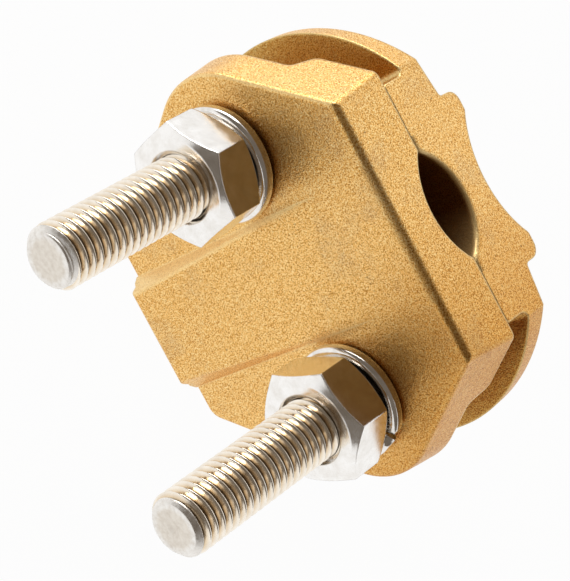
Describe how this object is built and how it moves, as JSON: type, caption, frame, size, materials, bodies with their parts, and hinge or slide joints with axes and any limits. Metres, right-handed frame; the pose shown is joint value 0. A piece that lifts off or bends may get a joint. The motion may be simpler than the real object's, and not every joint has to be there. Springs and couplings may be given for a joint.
{
  "type": "u-bolt ground rod clamp",
  "caption": "Earthing clamp with cast front and rear halves on a threaded U-bolt, gripping a ground rod in a rear saddle and a cable in a groove between the halves.",
  "frame": {"origin": "on the parting face of the two castings, midway between the legs of the U-bolt, on the line of the cable groove", "axes": "+Z along the ground rod and the cable groove, away from the flat foot end; +X across the legs, from the left nut to the right nut; -Y the way the nuts and leg ends face; +Y towards the rod and the bend of the U-bolt"},
  "size_m": [0.0686, 0.0854, 0.0566],
  "materials": {
    "cast_gunmetal": "sand cast and shot blasted, matte",
    "bolt_steel": "stainless steel, rolled thread",
    "washer_steel": "stainless spring steel, bright",
    "nut_steel": "stainless steel, satin flats"
  },
  "bodies": {
    "rear_half": {"rear_casting": "cast_gunmetal"},
    "front_half": {"front_casting": "cast_gunmetal"},
    "bolt": {"u_bolt": "bolt_steel"},
    "lock_washer_left": {"washer_left": "washer_steel"},
    "lock_washer_right": {"washer_right": "washer_steel"},
    "hex_nut_left": {"nut_left": "nut_steel"},
    "hex_nut_right": {"nut_right": "nut_steel"}
  },
  "joints": [
    {"name": "rod_take_up", "type": "slide", "parent": "rear_half", "child": "bolt", "axis": [0, 1, 0], "range_m": [0, 0.01]},
    {"name": "cable_jaw", "type": "slide", "parent": "rear_half", "child": "front_half", "axis": [0, -1, 0], "range_m": [0, 0.006]},
    {"name": "nut_run_left", "type": "slide", "parent": "front_half", "child": "lock_washer_left", "axis": [0, -1, 0], "range_m": [0, 0.009]},
    {"name": "nut_run_right", "type": "slide", "parent": "front_half", "child": "lock_washer_right", "axis": [0, -1, 0], "range_m": [0, 0.009]},
    {"name": "nut_turn_left", "type": "hinge", "parent": "lock_washer_left", "child": "hex_nut_left", "pos_m": [-0.02, -0.0175, 0], "axis": [0, -1, 0], "range_deg": [0, 2160.1]},
    {"name": "nut_turn_right", "type": "hinge", "parent": "lock_washer_right", "child": "hex_nut_right", "pos_m": [0.02, -0.0175, 0], "axis": [0, -1, 0], "range_deg": [0, 2160.1]}
  ],
  "couplings": [
    {"joint": "nut_turn_left", "follows": "nut_run_left", "rad_per_m": 4188.8},
    {"joint": "nut_turn_right", "follows": "nut_run_right", "rad_per_m": 4188.8}
  ]
}
